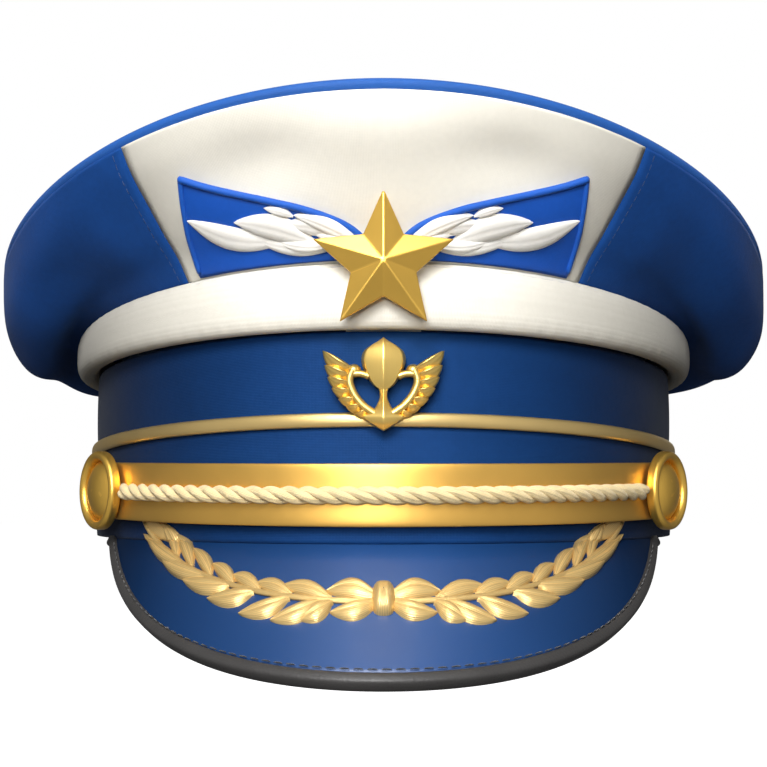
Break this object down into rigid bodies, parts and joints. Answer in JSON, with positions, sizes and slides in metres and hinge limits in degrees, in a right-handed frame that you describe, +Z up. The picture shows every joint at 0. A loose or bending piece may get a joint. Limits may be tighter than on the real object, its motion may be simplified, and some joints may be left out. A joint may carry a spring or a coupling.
{
  "type": "peaked cap",
  "caption": "Dress peaked cap with a wide saddle crown, padded roll, piped band, curved glossy visor, corded chin strap on side buttons, star and winged badges.",
  "frame": {"origin": "centre of the head opening, in the plane of the band's bottom edge", "axes": "+Z up from the head opening to the crown, -Y towards the visor, +X to the right seen from the front"},
  "size_m": [0.2256, 0.2646, 0.1349],
  "materials": {
    "cream_cloth": "matte wool cloth",
    "blue_cloth": "matte wool cloth",
    "cobalt_cloth": "smooth satin cloth",
    "leaf_silk": "embroidered silk",
    "blue_edge": "corded edge",
    "visor_gloss": "patent gloss",
    "visor_board": "pressed board",
    "visor_lining": "grained",
    "edge_binding": "semi-matt",
    "gold": "polished, lacquered",
    "gold_piping": "satin",
    "gold_strap": "metallic gold lacquer",
    "cord": "twisted cotton",
    "sweat_leather": "smooth vegetable tanned",
    "lining": "satin weave",
    "foam": "open-cell foam",
    "stiffener": "fibre sheet",
    "steel": "spring steel",
    "shield": "clear film"
  },
  "bodies": {
    "cap": {"crown_front_panel": "cream_cloth", "crown_left_panel": "blue_cloth", "crown_right_panel": "blue_cloth", "crown_back_panel": "blue_cloth", "crown_top_panel": "blue_cloth", "crown_piping": "blue_edge", "crown_hoop": "steel", "crown_front_stay": "steel", "lining_front": "lining", "lining_left": "lining", "lining_right": "lining", "lining_back": "lining", "lining_tip": "lining", "lining_shield": "shield", "roll_cover": "cream_cloth", "roll_core": "foam", "left_flash_insert": "cobalt_cloth", "right_flash_insert": "cobalt_cloth", "left_leaf_spray": "leaf_silk", "right_leaf_spray": "leaf_silk", "band_cloth": "blue_cloth", "band_stiffener": "stiffener", "sweatband": "sweat_leather", "sweatband_bow": "lining", "band_piping": "gold_piping", "band_eyelets": "gold", "visor_cover": "visor_gloss", "visor_board": "visor_board", "visor_underlay": "visor_lining", "visor_binding": "edge_binding", "laurel_left": "gold", "laurel_right": "gold", "laurel_bow": "gold", "laurel_ring": "gold", "star_badge": "gold", "star_post": "gold", "star_nut": "gold", "wing_badge": "gold", "badge_blade": "gold", "badge_posts": "gold", "badge_nuts": "gold"},
    "chin_strap": {"chin_strap": "gold_strap", "chin_cord": "cord", "strap_eyelets": "gold"},
    "left_button": {"left_button_bezel": "gold", "left_button_dome": "gold", "left_button_shank": "gold", "left_button_washer": "gold"},
    "right_button": {"right_button_bezel": "gold", "right_button_dome": "gold", "right_button_shank": "gold", "right_button_washer": "gold"}
  },
  "joints": [
    {"name": "strap_swing", "type": "hinge", "parent": "cap", "child": "chin_strap", "pos_m": [0, -0.0604, 0.0127], "axis": [-1, 0, 0], "range_deg": [0, 6]},
    {"name": "left_button_turn", "type": "hinge", "parent": "cap", "child": "left_button", "pos_m": [-0.07005, -0.05906, 0.0127], "axis": [-0.8214, -0.5703, 0], "continuous": true},
    {"name": "right_button_turn", "type": "hinge", "parent": "cap", "child": "right_button", "pos_m": [0.07005, -0.05906, 0.0127], "axis": [0.8214, -0.5703, 0], "continuous": true}
  ]
}
